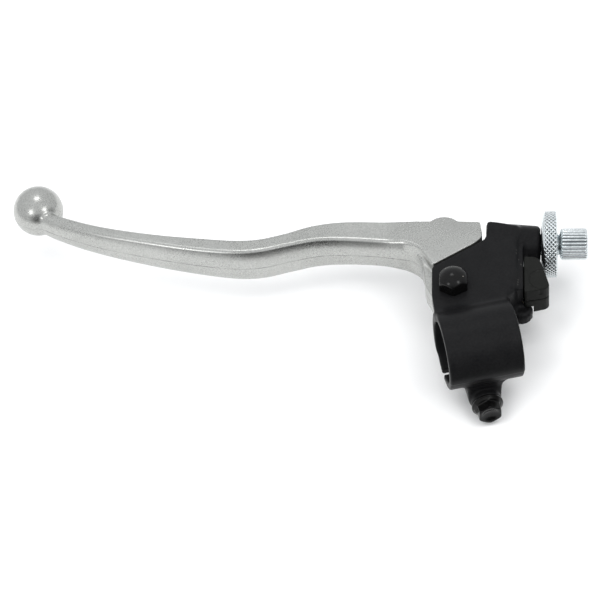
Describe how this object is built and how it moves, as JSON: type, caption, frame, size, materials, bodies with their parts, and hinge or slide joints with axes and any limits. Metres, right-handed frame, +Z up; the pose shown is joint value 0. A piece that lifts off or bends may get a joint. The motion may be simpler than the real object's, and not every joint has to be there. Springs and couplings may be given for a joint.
{
  "type": "clutch lever assembly",
  "caption": "Motorcycle clutch lever on a clamp-on handlebar perch, with a knurled cable adjuster, a pivot bolt and a plunger clutch switch.",
  "frame": {"origin": "centre of the handlebar bore, at the middle of the clamp's length", "axes": "+X along the handlebar towards the middle of the bike, +Y forward and away from the rider, +Z up along the lever's pivot axis"},
  "size_m": [0.2056, 0.132, 0.0404],
  "materials": {
    "cast_aluminium": "satin die-cast aluminium",
    "black_casting": "satin black paint on cast aluminium",
    "black_bolt": "gloss black oxide on steel, edges worn",
    "zinc": "bright blue-white zinc plate",
    "steel": "plain steel",
    "black_plastic": "matte moulded plastic",
    "nylon": "natural nylon",
    "brass": "brass strip",
    "rubber": "soft black rubber"
  },
  "bodies": {
    "perch": {"perch_body": "black_casting", "clamp_bolt": "black_bolt", "pivot_bolt": "black_bolt", "pivot_bush": "steel", "pivot_washer": "zinc", "pivot_locknut": "zinc", "pivot_locknut_insert": "nylon", "switch_case_upper": "black_plastic", "switch_case_lower": "black_plastic", "switch_plunger_seal": "rubber", "switch_terminal_front": "brass", "switch_terminal_rear": "brass", "switch_spring": "steel", "switch_screw": "zinc"},
    "lever": {"lever_blade": "cast_aluminium", "thrust_washer_upper": "nylon", "thrust_washer_lower": "nylon"},
    "plunger": {"switch_plunger": "nylon", "switch_contact_bridge": "brass"},
    "barrel": {"adjuster_barrel": "zinc"},
    "locknut": {"adjuster_locknut": "zinc"}
  },
  "joints": [
    {"name": "lever_pivot", "type": "hinge", "parent": "perch", "child": "lever", "pos_m": [-0.0038, 0.0226, 0], "axis": [0, 0, 1], "range_deg": [0, 25]},
    {"name": "plunger_slide", "type": "slide", "parent": "perch", "child": "plunger", "axis": [-0.9715, 0.2368, 0], "range_m": [0, 0.0021]},
    {"name": "barrel_slide", "type": "slide", "parent": "perch", "child": "barrel", "axis": [0.9715, -0.2368, 0], "range_m": [0, 0.008]},
    {"name": "locknut_spin", "type": "hinge", "parent": "barrel", "child": "locknut", "pos_m": [0.03309, 0.04122, 0], "axis": [0.9715, -0.2368, 0], "continuous": true}
  ],
  "couplings": [
    {"joint": "plunger_slide", "follows": "lever_pivot", "m_per_rad": 0.0048}
  ]
}
